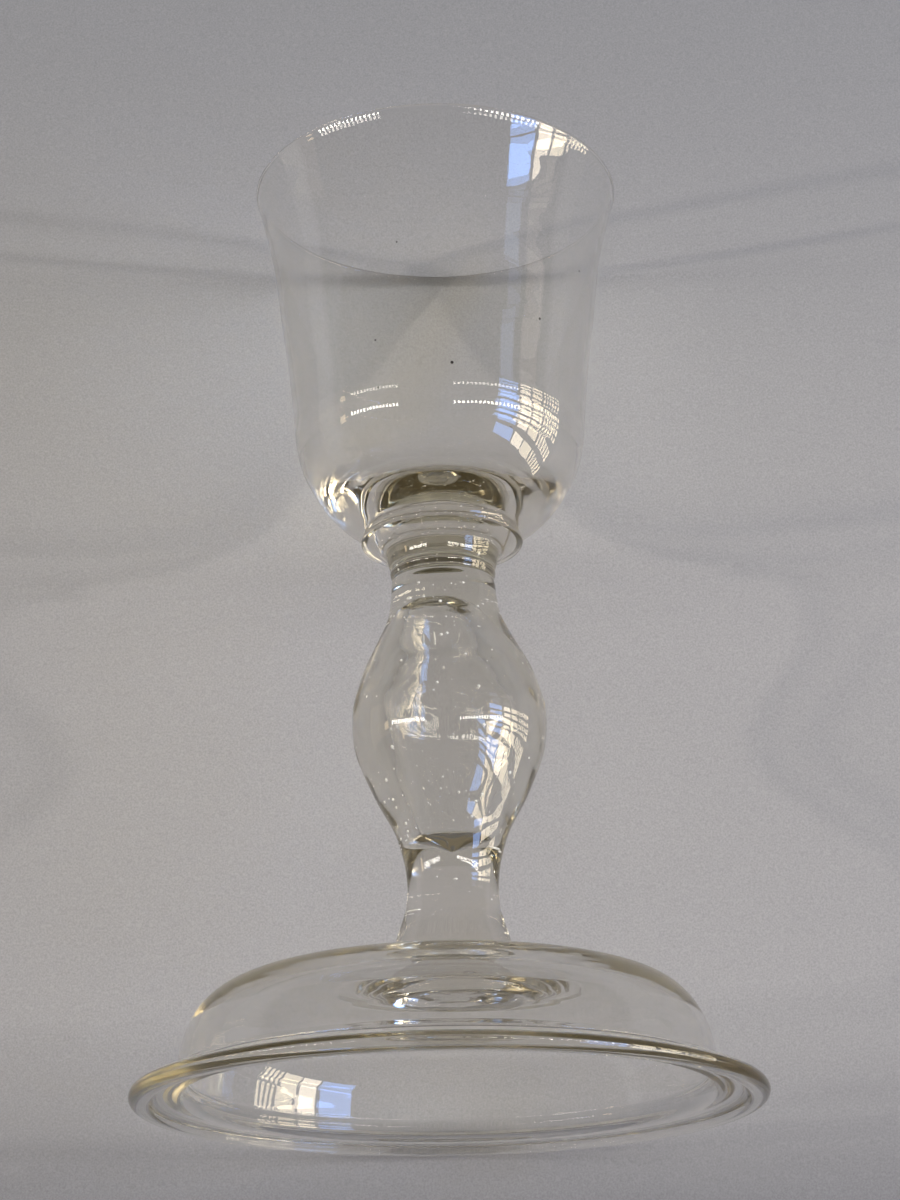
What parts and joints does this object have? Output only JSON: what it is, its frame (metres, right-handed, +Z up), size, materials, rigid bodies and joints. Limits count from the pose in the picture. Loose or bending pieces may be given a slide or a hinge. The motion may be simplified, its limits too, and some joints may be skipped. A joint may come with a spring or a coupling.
{
  "type": "glass chalice",
  "caption": "Clear blown-glass chalice: bell bowl on a thin disc, hollow baluster knop, short stem and a high domed foot with a folded rim.",
  "frame": {"origin": "middle of the foot, on the plane that the foot stands on", "axes": "+Z up the axis of the chalice from its foot to its lip; the body is round, so X and Y are free"},
  "size_m": [0.1554, 0.1554, 0.25],
  "materials": {
    "foot_glass": "fire-polished soda glass, faint olive tint, thick at its rim and crown",
    "scar_glass": "rough broken pontil glass",
    "stem_glass": "solid fire-polished soda glass with a few seeds",
    "knop_glass": "hollow-blown soda glass with many seeds",
    "collar_glass": "thick fire-polished soda glass, olive",
    "merese_glass": "fire-polished soda glass",
    "bowl_glass": "thin blown soda glass, fire-polished lip"
  },
  "bodies": {
    "root": {"domed_foot": "foot_glass", "pontil_scar": "scar_glass", "lower_stem": "stem_glass", "baluster_knop": "knop_glass", "neck_collar": "collar_glass", "merese": "merese_glass", "bowl": "bowl_glass"}
  },
  "joints": []
}
